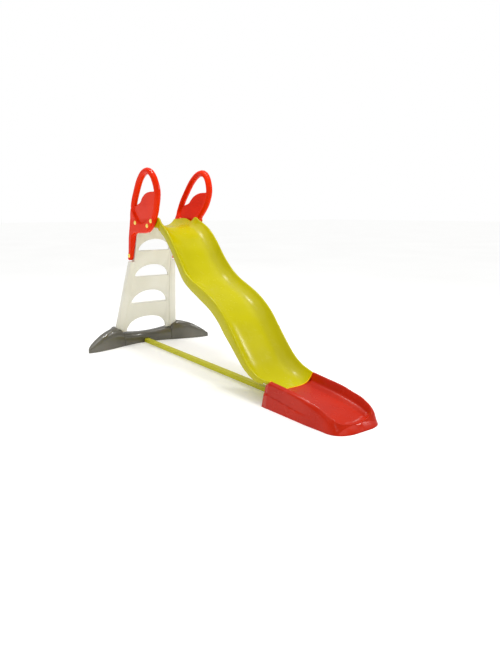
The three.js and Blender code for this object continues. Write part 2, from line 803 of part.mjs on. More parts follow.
function tray() {
  const start = CHUTE_END + 0.4;
  const rear = [start, 1865, 1932, 2000, 2060, 2113, 2150, 2182, 2214];
  const stations = [...rear, 2240, 2265, 2280, 2292, 2298, 2304, 2309, 2318, 2328, 2338, NOSE];
  const outside = loft(stations.map((x) => trayLoop(x)), acrossAndUp);
  const saddle = loft([TRAY_REAR, start].map((x) => trayLoop(x, CHUTE_END - 1)), acrossAndUp);
  const under = [CHUTE_END + 6, ...stations.filter((x) => x > 1860 && x < 2270)];
  const hollow = loft(under.map((x) => trayLoop(x, x, WALL, -1)), acrossAndUp);
  const saddleEnds = [TRAY_REAR + 20, CHUTE_END + 8];
  const saddleHollow = loft(saddleEnds.map((x) => trayLoop(x, CHUTE_END - 1, WALL, -1)), acrossAndUp);
  const boss = box(TRAY_REAR + 1, 1850, -TRAY_BOLT.half, TRAY_BOLT.half, 0, 62);
  // The rear edge leans forward as it rises.
  const rearLean = bend(box(-80, 0, -250, 250, -2, 200), (x, y, z) => [TRAY_REAR + x + z * 0.182, y, z]);
  const slotEnd = BAR_END + GAP * 2 + PLUG_FLANGE;
  const slotHalf = BAR_WIDTH / 2 + GAP;
  const barSlot = box(TRAY_REAR - 10, slotEnd, -slotHalf, slotHalf, -1, BAR_TOP + GAP);
  const shell = union([cut(outside.add(saddle), [hollow, saddleHollow]), boss]);
  const screwHoles = [1, -1].map((s) => {
    return onSide(s, pin("z", CHUTE_SCREW.x, CHUTE_SCREW.y, SCREW_RADIUS + GAP, 60, 95));
  });
  return cut(shell, [rearLean, barSlot, trayBoltHole(), ...screwHoles]);
}

// ---- Handles ----

// The middle of a handle's round tube, seen from the side, once round from its rightmost point.
const RING_POINTS = [
  [588, 1222],
  [577, 1268],
  [555, 1311],
  [524, 1341],
  [484, 1356],
  [437, 1354],
  [386, 1336],
  [331, 1299],
  [288, 1256],
  [252, 1214],
  [214, 1168],
  [184, 1120],
  [168, 1066],
  [182, 1014],
  [222, 976],
  [274, 960],
  [328, 960],
  [386, 979],
  [444, 1014],
  [501, 1060],
  [545, 1112],
  [574, 1165],
];

function handleRing() {
  const around = 100;
  const curve = new THREE.CatmullRomCurve3(RING_POINTS.map(([x, z]) => point(x, 0, z)), true);
  curve.arcLengthDivisions = 600;
  const torus = solid(new THREE.TorusGeometry(around, TUBE_RADIUS, 10, 44));
  const middle = HANDLE_MIDDLE;
  const bent = bend(torus, (x, y, z) => {
    const turn = (Math.atan2(y, x) / (2 * Math.PI) + 1) % 1;
    const out = Math.hypot(x, y) - around;
    const place = curve.getPointAt(turn);
    const run = curve.getTangentAt(turn);
    return [place.x + run.z * out, middle + z, place.z - run.x * out];
  });
  return bent;
}

const frontAt = (z) => LADDER_FRONT + LADDER_LEAN * z;
const STEM_WIDTH = 56;

// The stem along the ladder's rail and the broad lower lobe that holds the three chute bolts.
function handleFootShape() {
  const rearAt = (z) => frontAt(z) - STEM_WIDTH;
  const taperedFront = (z) => frontAt(z) - Math.max(0, 880 - z) * 0.1;
  const shape = new THREE.Shape();
  shape.moveTo(rearAt(724), 724);
  shape.quadraticCurveTo(rearAt(708), 710, rearAt(707) + 20, 707);
  shape.quadraticCurveTo(taperedFront(709), 710, taperedFront(724), 724);
  shape.lineTo(taperedFront(880), 880);
  shape.quadraticCurveTo(frontAt(914) + 4, 921, 190, 922);
  shape.lineTo(325, 924);
  shape.quadraticCurveTo(398, 926, 440, 966);
  shape.quadraticCurveTo(492, 1004, 516, 1070);
  shape.lineTo(506, 1074);
  shape.quadraticCurveTo(400, 1000, 293, 995);
  shape.quadraticCurveTo(204, 1000, 180, 1104);
  shape.lineTo(160, 1104);
  shape.quadraticCurveTo(114, 1056, rearAt(985), 985);
  return shape;
}

// The recessed plate that closes the lower half of the ring, with the wavy edge that bounds the hand slot.
function handlePlateShape() {
  const shape = new THREE.Shape();
  shape.moveTo(588, 1216);
  shape.lineTo(490, 1216);
  shape.bezierCurveTo(420, 1215, 372, 1196, 336, 1166);
  shape.quadraticCurveTo(312, 1140, 288, 1137);
  shape.lineTo(196, 1116);
  shape.lineTo(172, 1066);
  shape.quadraticCurveTo(190, 980, 274, 963);
  shape.quadraticCurveTo(400, 965, 500, 1062);
  shape.quadraticCurveTo(565, 1130, 588, 1216);
  return shape;
}

const PLATE_INNER = 177;
const PLATE_OUTER = 192;

function handle(side) {
  const foot = slabAlong(handleFootShape(), HANDLE_INNER, HANDLE_OUTER, 7, 5);
  // The stem grows thicker from its end up to the lobe.
  const thickness = along([[772, (STEM_OUTER - HANDLE_INNER) / (HANDLE_OUTER - HANDLE_INNER)], [880, 1]]);
  const tapered = bendInLayers(foot, [772, 880], (x, y, z) => {
    return [x, HANDLE_INNER + (y - HANDLE_INNER) * thickness(z), z];
  });
  const plate = slabAlong(handlePlateShape(), PLATE_INNER, PLATE_OUTER, 0, 6);
  const innerCut = box(-100, 700, 100, HANDLE_INNER, 600, 1050);
  // Above the chute's rim the lobe is cut back behind the ring, down to the outer part of its thickness.
  const reliefAt = (z, depth) => {
    const outline = [[0, 100], [176, 100], [168, 164 + depth], [0, 164 + depth]];
    return outline.map(([x, y]) => point(x, y, z));
  };
  const relief = loft([reliefAt(962, 0), reliefAt(1012, 15), reliefAt(1140, 15)], alongAndAcross);
  const upright = handleRing().add(plate).subtract(innerCut).add(tapered.subtract(relief));
  const shift = along(HANDLE_SPLAY);
  const knots = HANDLE_SPLAY.slice(0, 2).map(([z]) => z);
  const splayed = bendInLayers(upright, knots, (x, y, z) => [x, y + shift(z), z]);
  const holes = Object.values(SIDE_BOLTS).map((bolt) => shaftHole(bolt, 1));
  return onSide(side, cut(splayed, holes));
}

// ---- Assembly ----

const slide = new THREE.Group();
slide.position.x = -(BASE_REAR + NOSE) / 2;

function add(name, manifold, material) {
  const mesh = new THREE.Mesh(geometryOf(manifold), material);
  mesh.name = name;
  slide.add(mesh);
}

const SIDES = { left: 1, right: -1 };

add("ladder", ladder(), plastic(CREAM));
add("crossbar", crossbar(), plastic(GREY));
add("chute", chute(), plastic(LIME));
add("runout_tray", tray(), plastic(RED));
add("stabiliser_bar", stabiliserBar(), plastic(BAR_LIME));
add("bar_plug_rear", barPlug(BAR_START), plastic(BLACK));
add("bar_plug_front", barPlug(BAR_END), plastic(BLACK));

const rearHead = BASE_REAR + SCREW_RECESS - GAP;
const bossFace = TRAY_BOLT.half + GAP;
const rearBolt = screw("x", 0, BAR_MIDDLE, rearHead, BAR_START + 14, BOLT_RADIUS);
const frontBolt = screw("y", TRAY_BOLT.x, BAR_MIDDLE, bossFace, -bossFace - 10, BOLT_RADIUS);
const frontNut = pin("y", TRAY_BOLT.x, BAR_MIDDLE, NUT_RADIUS, -bossFace - NUT_THICKNESS, -bossFace, 6);
add("bar_bolt_rear", rearBolt, metal(STEEL));
add("bar_bolt_front", frontBolt, metal(STEEL));
add("bar_nut_front", frontNut.subtract(trayBoltHole()), metal(STEEL));

for (const [name, side] of Object.entries(SIDES)) {
  add(`foot_${name}`, foot(side), plastic(GREY));
  add(`handle_${name}`, handle(side), plastic(RED));
  for (const [place, bolt] of Object.entries(SIDE_BOLTS)) {
    add(`handle_bolt_${name}_${place}`, sideBolt(bolt, side), metal(STEEL));
    add(`bolt_cap_${name}_${place}`, sideCap(bolt, side), plastic(CAP_YELLOW));
    add(`handle_nut_${name}_${place}`, sideNut(bolt, side), metal(STEEL));
  }
  const legScrew = screw("x", LEG_SCREW.y, LEG_SCREW.z, rearHead, -158);
  add(`leg_screw_${name}`, onSide(side, legScrew), metal(STEEL));
  const crossbarScrew = screw("x", TONGUE_SCREW.y, TONGUE_SCREW.z, rearHead, -135);
  add(`crossbar_screw_${name}`, onSide(side, crossbarScrew), metal(STEEL));
  const chuteScrew = screw("z", CHUTE_SCREW.x, CHUTE_SCREW.y, CHUTE_SCREW.head, CHUTE_SCREW.tip);
  add(`chute_screw_${name}`, onSide(side, chuteScrew), metal(STEEL));
}

export default slide;
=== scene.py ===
"""The looks of the garden wave slide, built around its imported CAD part. Metres, +Z up, +X down the slide."""

import math

import bmesh
import bpy
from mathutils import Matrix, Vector


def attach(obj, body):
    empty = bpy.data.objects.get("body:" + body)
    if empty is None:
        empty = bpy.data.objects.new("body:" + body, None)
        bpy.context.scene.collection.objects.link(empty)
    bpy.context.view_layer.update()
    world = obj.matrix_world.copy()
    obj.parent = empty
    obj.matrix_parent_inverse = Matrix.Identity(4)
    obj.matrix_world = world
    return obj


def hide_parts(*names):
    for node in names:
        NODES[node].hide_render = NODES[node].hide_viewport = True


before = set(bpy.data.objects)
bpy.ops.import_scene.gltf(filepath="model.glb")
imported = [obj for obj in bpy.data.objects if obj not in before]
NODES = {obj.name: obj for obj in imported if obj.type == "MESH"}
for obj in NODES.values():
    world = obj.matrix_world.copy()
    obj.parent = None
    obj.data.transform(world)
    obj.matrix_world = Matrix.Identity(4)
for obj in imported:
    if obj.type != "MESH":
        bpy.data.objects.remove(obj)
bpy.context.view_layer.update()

MM = 0.001
# Part coordinates in millimetres are counted from a datum this far behind the row frame's origin.
DATUM_X = 1075


def place(x, y, z):
    """A point of the part's own millimetres, in the row frame."""
    return Vector(((x - DATUM_X) * MM, y * MM, z * MM))


# ---- Curves and tables ----

# A curve is measured in this many short steps before its points are spaced evenly.
FINE_STEPS = 400


def smooth(pairs):
    """A smooth curve through [position, value] pairs that never overshoots them (monotone cubic)."""
    xs = [p[0] for p in pairs]
    vs = [p[1] for p in pairs]
    slopes = [(vs[i + 1] - vs[i]) / (xs[i + 1] - xs[i]) for i in range(len(xs) - 1)]
    tangents = [slopes[0]]
    for before, after in zip(slopes, slopes[1:]):
        tangents.append(0 if before * after <= 0 else 2 * before * after / (before + after))
    tangents.append(slopes[-1])

    def value(x):
        if x <= xs[0]:
            return vs[0]
        for i in range(len(xs) - 1):
            if x <= xs[i + 1]:
                width = xs[i + 1] - xs[i]
                t = (x - xs[i]) / width
                return (
                    vs[i] * (1 + 2 * t) * (1 - t) ** 2
                    + vs[i + 1] * t * t * (3 - 2 * t)
                    + tangents[i] * width * t * (1 - t) ** 2
                    - tangents[i + 1] * width * t * t * (1 - t)
                )
        return vs[-1]

    return value


def catmull_rom(points, t):
    """The point at t, from 0 to 1, of a uniform Catmull-Rom curve through 2-D points."""
    count = len(points) - 1
    along = min(max(t, 0.0), 1.0) * count
    i = min(int(along), count - 1)
    w = along - i

    def at(k):
        return points[min(max(k, 0), count)]

    result = []
    for axis in range(2):
        a, b, c, d = (at(i + k)[axis] for k in (-1, 0, 1, 2))
        # A missing end point is taken by running the curve straight on.
        if i == 0:
            a = 2 * b - c
        if i == count - 1:
            d = 2 * c - b
        result.append(
            0.5 * (2 * b + (c - a) * w + (2 * a - 5 * b + 4 * c - d) * w * w + (3 * b - a - 3 * c + d) * w**3)
        )
    return result


def hump(x, middle, width):
    """A bell of height 1 at the middle."""
    return math.exp(-(((x - middle) / width) ** 2))


def smoothstep(x, low, high):
    """Rises smoothly from 0 at low to 1 at high."""
    t = min(max((x - low) / (high - low), 0.0), 1.0)
    return t * t * (3 - 2 * t)


def resampled(points, count):
    """Points spaced evenly along a smooth curve through a section's points."""
    fine = [catmull_rom(points, k / FINE_STEPS) for k in range(FINE_STEPS + 1)]
    lengths = [0.0]
    for a, b in zip(fine, fine[1:]):
        lengths.append(lengths[-1] + math.dist(a, b))
    out = []
    k = 0
    for i in range(count):
        goal = lengths[-1] * i / (count - 1)
        while k < len(fine) - 2 and lengths[k + 1] < goal:
            k += 1
        span = lengths[k + 1] - lengths[k]
        share = (goal - lengths[k]) / span if span > 0 else 0
        out.append([fine[k][n] + (fine[k + 1][n] - fine[k][n]) * share for n in (0, 1)])
    return out


# ---- Mesh making ----

# Vertices closer than this, in metres, are one vertex.
WELD = 1e-6


def piece_from(name, bm, material, smooth_angle=40):
    """An object made of a mesh, shaded smooth except across edges sharper than an angle in degrees."""
    bmesh.ops.remove_doubles(bm, verts=bm.verts, dist=WELD)
    bmesh.ops.recalc_face_normals(bm, faces=bm.faces)
    mesh = bpy.data.meshes.new(name)
    bm.to_mesh(mesh)
    bm.free()
    mesh.materials.append(material)
    obj = bpy.data.objects.new(name, mesh)
    bpy.context.scene.collection.objects.link(obj)
    mesh.shade_smooth()
    mesh.set_sharp_from_angle(angle=math.radians(smooth_angle))
    return obj


def apply_modifiers(obj):
    """Bakes an object's modifiers into its mesh, and keeps it above the ground."""
    depsgraph = bpy.context.evaluated_depsgraph_get()
    mesh = bpy.data.meshes.new_from_object(obj.evaluated_get(depsgraph))
    old = obj.data
    obj.modifiers.clear()
    obj.data = mesh
    bpy.data.meshes.remove(old)
    for vertex in mesh.vertices:
        vertex.co.z = max(vertex.co.z, 0.0)


def grid(rows, closed_across=False):
    """A quad sheet over rows of points."""
    bm = bmesh.new()
    made = [[bm.verts.new(p) for p in row] for row in rows]
    for first, second in zip(made, made[1:]):
        count = len(first) if closed_across else len(first) - 1
        for k in range(count):
            n = (k + 1) % len(first)
            bm.faces.new((first[k], first[n], second[n], second[k]))
    return bm


def cap(bm, row):
    """Closes a loop of points with one face."""
    bmesh.ops.remove_doubles(bm, verts=bm.verts, dist=WELD)
    bm.faces.new([min(bm.verts, key=lambda v: (v.co - p).length_squared) for p in row])


def moulded(name, node, voxel, passes, material):
    """A moulded piece: the CAD solid's own shape with its edges softened as a mould leaves them."""
    source = NODES[node]
    obj = bpy.data.objects.new(name, source.data.copy())
    obj.data.materials.clear()
    obj.data.materials.append(material)
    bpy.context.scene.collection.objects.link(obj)
    remesh = obj.modifiers.new("remesh", "REMESH")
    remesh.mode = "VOXEL"
    remesh.voxel_size = voxel
    remesh.use_smooth_shade = True
    soften = obj.modifiers.new("soften", "SMOOTH")
    soften.factor = 0.5
    soften.iterations = passes
    apply_modifiers(obj)
    obj.data.shade_smooth()
    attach(obj, "root")
    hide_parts(node)
    return obj


def bevelled(name, node, width, material):
    """A thin-walled piece: the CAD solid's own shape with a small round on its sharp edges."""
    source = NODES[node]
    bm = bmesh.new()
    bm.from_mesh(source.data)
    bmesh.ops.remove_doubles(bm, verts=bm.verts, dist=WELD)
    flat = math.radians(0.5)
    bmesh.ops.dissolve_limit(bm, angle_limit=flat, verts=bm.verts, edges=bm.edges)
    obj = piece_from(name, bm, material, 30)
    bevel = obj.modifiers.new("bevel", "BEVEL")
    bevel.width = width
    bevel.segments = 3
    bevel.limit_method = "ANGLE"
    bevel.angle_limit = math.radians(40)
    apply_modifiers(obj)
    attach(obj, "root")
    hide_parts(node)
    return obj


# ---- Materials ----


class Nodes:
    """Short ways to build a node material."""

    def __init__(self, name):
        self.material = bpy.data.materials.new(name)
        self.material.use_nodes = True
        self.tree = self.material.node_tree
        self.shader = self.tree.nodes["Principled BSDF"]
        self.coords = self.add("ShaderNodeTexCoord").outputs["Object"]

    def add(self, kind, **values):
        node = self.tree.nodes.new(kind)
        for key, value in values.items():
            setattr(node, key, value)
        return node

    def link(self, output, socket):
        self.tree.links.new(output, socket)

    def noise(self, scale, detail=3.0, roughness=0.5, stretch=None):
        """A noise over the object's own coordinates, which may be stretched along an axis."""
        node = self.add("ShaderNodeTexNoise")
        node.inputs["Scale"].default_value = scale
        node.inputs["Detail"].default_value = detail
        node.inputs["Roughness"].default_value = roughness
        if stretch:
            mapping = self.add("ShaderNodeMapping")
            mapping.inputs["Scale"].default_value = stretch
            self.link(self.coords, mapping.inputs["Vector"])
            self.link(mapping.outputs["Vector"], node.inputs["Vector"])
        else:
            self.link(self.coords, node.inputs["Vector"])
        return node.outputs["Fac"]

    def span(self, value, low, high, out_low, out_high):
        """Maps a value from one range to another, clamped."""
        node = self.add("ShaderNodeMapRange")
        node.inputs["From Min"].default_value = low
        node.inputs["From Max"].default_value = high
        node.inputs["To Min"].default_value = out_low
        node.inputs["To Max"].default_value = out_high
        self.link(value, node.inputs["Value"])
        return node.outputs["Result"]

    def blend(self, factor, first, second):
        """Mixes two colours; either may be a constant."""
        node = self.add("ShaderNodeMix", data_type="RGBA")
        self.link(factor, node.inputs["Factor"])
        colour_inputs = [s for s in node.inputs if s.type == "RGBA"]
        for socket, colour in zip(colour_inputs, (first, second)):
            if isinstance(colour, tuple):
                socket.default_value = (*colour, 1.0)
            else:
                self.link(colour, socket)
        return next(s for s in node.outputs if s.type == "RGBA")

    def maths(self, operation, first, second):
        """One sum on two values; either may be a number."""
        node = self.add("ShaderNodeMath", operation=operation)
        for socket, value in zip(node.inputs, (first, second)):
            if isinstance(value, (int, float)):
                socket.default_value = value
            else:
                self.link(value, socket)
        return node.outputs["Value"]

    def bump(self, heights):
        """Chains bumps, each given as (height, strength, distance in metres)."""
        normal = None
        for height, strength, distance in heights:
            node = self.add("ShaderNodeBump")
            node.inputs["Strength"].default_value = strength
            node.inputs["Distance"].default_value = distance
            self.link(height, node.inputs["Height"])
            if normal is not None:
                self.link(normal, node.inputs["Normal"])
            normal = node.outputs["Normal"]
        self.link(normal, self.shader.inputs["Normal"])


def srgb(red, green, blue):
    """A display colour in 0-255, as the linear colour that a shader takes."""

    def linear(value):
        v = value / 255
        return v / 12.92 if v <= 0.04045 else ((v + 0.055) / 1.055) ** 2.4

    return (linear(red), linear(green), linear(blue))


def plastic(name, colour, shade, roughness, scuff, grain, coat=0.0, specular=0.35):
    """Moulded plastic: slow colour drift, fine speckle, mould grain, handling scuffs, and convex edges painted
    paler, partly as wear and partly as a painted highlight.
    """
    n = Nodes(name)
    drift = n.span(n.noise(4.0, 2.0), 0.38, 0.62, 0.0, 1.0)
    flecks = n.span(n.noise(520.0, 1.0), 0.60, 0.70, 0.0, 0.10)
    base = n.blend(drift, colour, shade)
    base = n.blend(flecks, base, tuple(c * 0.8 for c in colour))
    # Fine scratches run mostly down the slide, in patches.
    scratches = n.span(n.noise(70.0, 4.0, 0.6, stretch=(0.2, 3.0, 3.0)), 0.60, 0.72, 0.0, 1.0)
    patches = n.span(n.noise(8.0, 3.0, 0.6), 0.50, 0.66, 0.0, 1.0)
    worn = n.maths("MULTIPLY", scratches, patches)
    paler = tuple(min(1.0, c * 1.12 + 0.02) for c in colour)
    base = n.blend(n.maths("MULTIPLY", worn, scuff), base, paler)
    # Convex edges are painted a little paler: partly rubbed wear, partly a painted highlight such as the
    # bright lines along the rims.
    geometry = n.add("ShaderNodeNewGeometry")
    rubbed_and_highlit = n.span(geometry.outputs["Pointiness"], 0.52, 0.60, 0.0, 0.35)
    base = n.blend(rubbed_and_highlit, base, paler)
    n.link(base, n.shader.inputs["Base Color"])
    rough = n.span(n.noise(22.0, 3.0, 0.55), 0.3, 0.7, roughness - 0.03, roughness + 0.05)
    rough = n.maths("ADD", rough, n.maths("MULTIPLY", worn, 0.12))
    n.link(rough, n.shader.inputs["Roughness"])
    n.bump(
        [
            (n.noise(6.0, 2.0, 0.4), 0.06, 0.004),
            (n.noise(1100.0, 1.0, 0.5), grain, 0.0002),
            (worn, 0.08, 0.0003),
        ]
    )
    n.shader.inputs["Specular IOR Level"].default_value = specular
    n.shader.inputs["Coat Weight"].default_value = coat
    n.shader.inputs["Coat Roughness"].default_value = 0.12
    return n.material


def zinc(name):
    """Zinc-plated steel: brushed streaks, blotchy plating and a little dull tarnish."""
    n = Nodes(name)
    streaks = n.noise(240.0, 3.0, 0.6, stretch=(1.0, 0.15, 1.0))
    blotches = n.span(n.noise(90.0, 4.0, 0.6), 0.4, 0.65, 0.0, 1.0)
    base = n.blend(blotches, srgb(200, 202, 204), srgb(150, 152, 150))
    n.link(base, n.shader.inputs["Base Color"])
    n.link(n.span(streaks, 0.3, 0.7, 0.26, 0.5), n.shader.inputs["Roughness"])
    n.shader.inputs["Metallic"].default_value = 1.0
    n.bump([(streaks, 0.25, 0.0002), (blotches, 0.1, 0.0002)])
    return n.material


RED = plastic(
    "red_plastic", srgb(234, 46, 0), srgb(224, 38, 0), roughness=0.2, scuff=0.25, grain=0.03, specular=0.08
)
TRAY_RED = plastic(
    "tray_red_plastic",
    srgb(190, 34, 0),
    srgb(180, 28, 0),
    roughness=0.24,
    scuff=0.25,
    grain=0.03,
    specular=0.2,
)
LIME = plastic(
    "lime_plastic",
    srgb(189, 181, 0),
    srgb(183, 175, 0),
    roughness=0.24,
    scuff=0.25,
    grain=0.03,
    specular=0.14,
)
# A painted highlight: a brighter warm yellow for the light caught along the chute's cut end.
END_HIGHLIGHT = plastic(
    "end_highlight_plastic", srgb(255, 196, 0), srgb(250, 186, 0), roughness=0.3, scuff=0.15, grain=0.03, specular=0.2
)
CREAM = plastic(
    "cream_plastic", srgb(229, 227, 216), srgb(222, 219, 205), roughness=0.42, scuff=0.15, grain=0.12
)
GREY = plastic(
    "grey_plastic",
    srgb(99, 96, 84),
    srgb(82, 79, 68),
    roughness=0.22,
    scuff=0.25,
    grain=0.08,
    coat=0.5,
    specular=0.5,
)
BAR = plastic(
    "bar_plastic",
    srgb(206, 202, 26),
    srgb(194, 190, 24),
    roughness=0.36,
    scuff=0.25,
    grain=0.10,
    specular=0.25,
)
YELLOW = plastic(
    "cap_plastic", srgb(255, 224, 104), srgb(248, 212, 86), roughness=0.32, scuff=0.15, grain=0.08, coat=0.1
)
BLACK = plastic("black_plastic", srgb(38, 39, 42), srgb(30, 31, 34), roughness=0.5, scuff=0.3, grain=0.2)
ZINC = zinc("zinc_steel")

# ---- Chute ----

CHUTE_WALL = 6
RIM_WIDTH = 14
TROUGH_POWER = 4.6
TROUGH_STEPS = 22
BEAD_STEPS = 9
CHUTE_START = 150
CHUTE_END = 1797
CHUTE_STATIONS = 170
# The last few millimetres carry a painted highlight, a brighter warm yellow standing in for the light caught
# along the chute's cut end; they start at this share of the run.
END_HIGHLIGHT_START = 0.9945
END_HIGHLIGHT_LENGTH = 7

RIM_LINE = [
    (CHUTE_START, 1020),
    (300, 1022),
    (430, 1021),
    (515, 1011),
    (631, 956),
    (726, 875),
    (816, 775),
    (908, 688),
    (990, 641),
    (1085, 605),
    (1180, 568),
    (1267, 524),
    (1357, 459),
    (1432, 381),
    (1495, 312),
    (1560, 246),
    (1611, 203),
    (1676, 168),
    (1747, 152),
    (CHUTE_END, 150),
]
SEAT_HALF = 163.3
chute_half = smooth(
    [
        (506, SEAT_HALF - 0.1),
        (545, 176),
        (640, 182),
        (820, 185),
        (930, 192),
        (1060, 187),
        (1690, 184),
        (1750, 177),
        (CHUTE_END, 163),
    ]
)
chute_depth = smooth([(CHUTE_START, 48), (500, 50), (700, 58), (CHUTE_END, 60)])
skirt_depth = smooth(
    [
        (500, 54),
        (750, 52),
        (950, 62),
        (1150, 74),
        (1390, 74),
        (1500, 56),
        (1600, 46),
        (1690, 34),
        (1748, 22),
        (1754, 11),
        (CHUTE_END, 11),
    ]
)


def rim_wave(x):
    """How far the rim rises or falls beside the deck and at the top of the run."""
    return 6 * hump(x, 290, 60) - 15 * hump(x, 402, 36) + 18 * hump(x, 478, 34)


def chute_section(x):
    """The section's right half at x, as (y, height over the rim): its upper side, then its underside."""
    outer = chute_half(x)
    trough = outer - RIM_WIDTH
    depth = chute_depth(x)
    skirt = skirt_depth(x)
    lift = rim_wave(x)
    top = []
    under = []
    for k in range(TROUGH_STEPS + 1):
        share = math.sin(math.pi / 2 * k / TROUGH_STEPS) ** 0.8
        fall = -depth * (1 - share**TROUGH_POWER)
        slope = depth * TROUGH_POWER * share ** (TROUGH_POWER - 1) / trough if share > 0 else 0
        size = math.hypot(slope, 1)
        raised = lift * share**8
        top.append((share * trough, fall + raised))
        if share < 0.985:
            wall = CHUTE_WALL / size
            under.append((share * trough + CHUTE_WALL * slope / size, fall + raised - wall))
    # The rolled rim: a half-round bead from the trough's edge to the outer wall.
    bead = (outer - trough) / 2
    middle = trough + bead
    for k in range(1, BEAD_STEPS):
        share = k / BEAD_STEPS
        turn = math.pi * (1 - share)
        top.append((middle + bead * math.cos(turn), lift - 2.2 * share + 4.2 * math.sin(turn)))
    top.append((outer, lift - 5))
    lip = min(3.0, skirt * 0.2)
    top.append((outer, -skirt + lip))
    top.append((outer - 1.2, -skirt))
    under.append((outer - 5, max(-9 + lift, -skirt + 1)))
    under.append((outer - 5, -skirt))
    return top, under


LADDER_FRONT = -127
LADDER_LEAN = 0.289
LADDER_DEPTH = 85
DECK_HALF = 112
HOOK_DROP = 34
DECK_WALL = 5


def rounded_path(corners, radius, steps=6):
    """A polyline through corners, with each inner corner rounded."""
    path = [Vector(corners[0])]
    for before, corner, after in zip(corners, corners[1:], corners[2:]):
        corner = Vector(corner)
        into = (Vector(before) - corner).normalized()
        out = (Vector(after) - corner).normalized()
        for k in range(steps + 1):
            t = k / steps
            start = corner + into * radius
            end = corner + out * radius
            path.append(start * (1 - t) ** 2 + corner * 2 * t * (1 - t) + end * t * t)
    path.append(Vector(corners[-1]))
    return path


def deck_plate():
    """The flat deck behind the trough and the lip that hooks over the ladder's top tread."""
    top = RIM_LINE[0][1] - chute_depth(CHUTE_START) - 0.4
    bottom = top - DECK_WALL
    tip = top + 0.4 - HOOK_DROP
    back = -LADDER_DEPTH - 7
    upper = rounded_path([(16, top), (back, top), (back, tip)], 9)
    lower = rounded_path([(16, bottom), (back + CHUTE_WALL, bottom), (back + CHUTE_WALL, tip)], 4)
    outline = upper + lower[::-1]
    rows = []
    for share in (-1, -0.985, -0.5, 0, 0.5, 0.985, 1):
        rows.append([place(x + LADDER_FRONT + LADDER_LEAN * z, share * DECK_HALF, z) for x, z in outline])
    bm = grid(rows, closed_across=True)
    cap(bm, rows[0])
    cap(bm, rows[-1])
    return piece_from("chute_deck", bm, LIME, 35)


def chute_piece():
    """The chute's shell: its section, set square to the rim's line at each station down the run."""
    rows = []
    nearby = 0.002
    for t in [i / CHUTE_STATIONS for i in range(CHUTE_STATIONS)] + [END_HIGHLIGHT_START, 1]:
        x, z = catmull_rom(RIM_LINE, t)
        before = catmull_rom(RIM_LINE, max(t - nearby, 0))
        after = catmull_rom(RIM_LINE, min(t + nearby, 1))
        run = Vector((after[0] - before[0], after[1] - before[1])).normalized()
        up = Vector((-run.y, run.x))
        # Both ends are cut square to the ground.
        if t in (0, 1):
            up = Vector((0, 1))
        top, under = chute_section(x)
        full = (
            [(-y, h) for y, h in reversed(top[1:])]
            + top
            + under[::-1]
            + [(-y, h) for y, h in under[1:]]
        )
        rows.append([place(x + up.x * h, y, z + up.y * h) for y, h in full])
    bm = grid(rows, closed_across=True)
    cap(bm, rows[0])
    cap(bm, rows[-1])
    obj = piece_from("chute_shell", bm, LIME)
    # The chute's last few millimetres take the painted highlight's brighter yellow.
    obj.data.materials.append(END_HIGHLIGHT)
    start = (CHUTE_END - END_HIGHLIGHT_LENGTH - DATUM_X) * MM
    for face in obj.data.polygons:
        if all(obj.data.vertices[v].co.x > start for v in face.vertices):
            face.material_index = 1
    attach(obj, "root")
    return obj


# ---- Run-out tray ----

TRAY_REAR = 1751
NOSE = 2345
TRAY_WALL = 4.5
TRAY_POINTS = 64
REAR_LEAN = 0.182
REAR_WALL = 12
# Under the chute's end the tray is a saddle, with one section all along.
SADDLE_FLOOR = 81.6
SADDLE_RIM = 136
SADDLE_HALF = 163
# The slot that takes the stabiliser bar, and the boss around it.
BOSS_HALF = 42
BOSS_END = 1850
BOSS_TOP = 66
SLOT_HALF = 20.8
SLOT_TOP = 31.8
SLOT_END = 1843.6
tray_rim = smooth(
    [
        (CHUTE_END, 151),
        (1932, 142),
        (2046, 133),
        (2113, 121),
        (2182, 108),
        (2223, 92),
        (2265, 73),
        (2280, 62),
        (2292, 48),
        (2298, 41),
        (2309, 34),
        (2328, 20),
        (NOSE, 6),
    ]
)
tray_floor = smooth(
    [
        (CHUTE_END, 88),
        (1900, 84),
        (2000, 77),
        (2100, 66),
        (2200, 50),
        (2240, 40),
        (2265, 33),
        (2285, 26),
        (2297, 26),
        (2304, 29),
        (2310, 32),
        (2316, 29.5),
        (2328, 19),
        (NOSE, 5.5),
    ]
)
tray_rim_half = smooth(
    [
        (CHUTE_END, 163),
        (1932, 158),
        (2182, 156),
        (2240, 153),
        (2265, 147),
        (2280, 138),
        (2292, 117),
        (2298, 94),
        (2304, 64),
        (2309, 26),
        (NOSE, 20),
    ]
)
NOSE_START = 2214
NOSE_POWER = 2.9
tray_skirt_half = smooth([(TRAY_REAR, 191), (2003, 184), (2109, 181), (NOSE_START, 172)])
# The trough's rise across the tray: (share of its half width, share of its depth).
TRAY_PROFILE = [(0, 0), (0.35, 0.03), (0.6, 0.1), (0.77, 0.2), (0.88, 0.33), (0.94, 0.68), (1, 1)]
# The lip across the nose is furthest forward in the middle.
LIP_X = 2310
LIP_SWEEP = 50


def tray_base_half(x):
    """Half the tray's width on the ground, which closes to a blunt round at the nose."""
    reach = max(0.0, x - NOSE_START) / (NOSE + 3 - NOSE_START)
    return tray_skirt_half(x) * (1 - reach**NOSE_POWER) ** (1 / NOSE_POWER)


